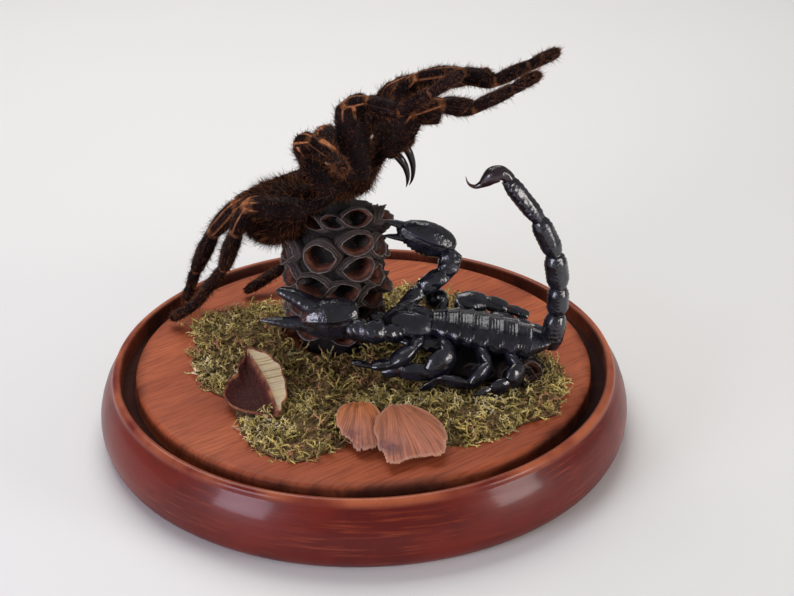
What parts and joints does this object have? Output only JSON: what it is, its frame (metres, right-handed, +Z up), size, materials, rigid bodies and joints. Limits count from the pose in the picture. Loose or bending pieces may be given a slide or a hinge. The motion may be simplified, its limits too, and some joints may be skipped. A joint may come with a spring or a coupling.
{
  "type": "mounted tarantula and scorpion display on a wooden dome base",
  "caption": "Mounted tarantula rearing from a banksia cone above a scorpion, with moss, seed pod and bracts on a turned wooden base grooved for a glass dome.",
  "frame": {"origin": "centre of the base's underside", "axes": "+Z up, -Y the front of the display, +X right as seen from the front"},
  "size_m": [0.19, 0.19, 0.1441],
  "materials": {
    "base_wood": "satin reddish stain",
    "moss": "matte tangled strands",
    "banksia_cone": "weathered matte",
    "seed_pod": "dry, half glossy",
    "bract": "dry, striated",
    "tarantula_fur": "hairy matte",
    "fang": "gloss black",
    "scorpion_shell": "gloss black chitin"
  },
  "bodies": {
    "root": {"banksia_cone": "banksia_cone", "base": "base_wood", "bract_left": "bract", "bract_right": "bract", "lying_cone": "banksia_cone", "moss": "moss", "scorpion_abdomen": "scorpion_shell", "scorpion_arm_left": "scorpion_shell", "scorpion_arm_right": "scorpion_shell", "scorpion_carapace": "scorpion_shell", "scorpion_chelicera_left": "scorpion_shell", "scorpion_chelicera_right": "scorpion_shell", "scorpion_claw_left": "scorpion_shell", "scorpion_claw_right": "scorpion_shell", "scorpion_finger_left_lower": "scorpion_shell", "scorpion_finger_left_upper": "scorpion_shell", "scorpion_finger_right_lower": "scorpion_shell", "scorpion_finger_right_upper": "scorpion_shell", "scorpion_leg_left_1": "scorpion_shell", "scorpion_leg_left_2": "scorpion_shell", "scorpion_leg_left_3": "scorpion_shell", "scorpion_leg_left_4": "scorpion_shell", "scorpion_leg_right_1": "scorpion_shell", "scorpion_leg_right_2": "scorpion_shell", "scorpion_leg_right_3": "scorpion_shell", "scorpion_leg_right_4": "scorpion_shell", "scorpion_stinger": "scorpion_shell", "scorpion_tail": "scorpion_shell", "seed_pod": "seed_pod", "tarantula_abdomen": "tarantula_fur", "tarantula_carapace": "tarantula_fur", "tarantula_chelicera_left": "tarantula_fur", "tarantula_chelicera_right": "tarantula_fur", "tarantula_fang_left": "fang", "tarantula_fang_right": "fang", "tarantula_leg_left_1": "tarantula_fur", "tarantula_leg_left_2": "tarantula_fur", "tarantula_leg_left_3": "tarantula_fur", "tarantula_leg_left_4": "tarantula_fur", "tarantula_leg_right_1": "tarantula_fur", "tarantula_leg_right_2": "tarantula_fur", "tarantula_leg_right_3": "tarantula_fur", "tarantula_leg_right_4": "tarantula_fur", "tarantula_palp_left": "tarantula_fur", "tarantula_palp_right": "tarantula_fur"}
  },
  "joints": []
}
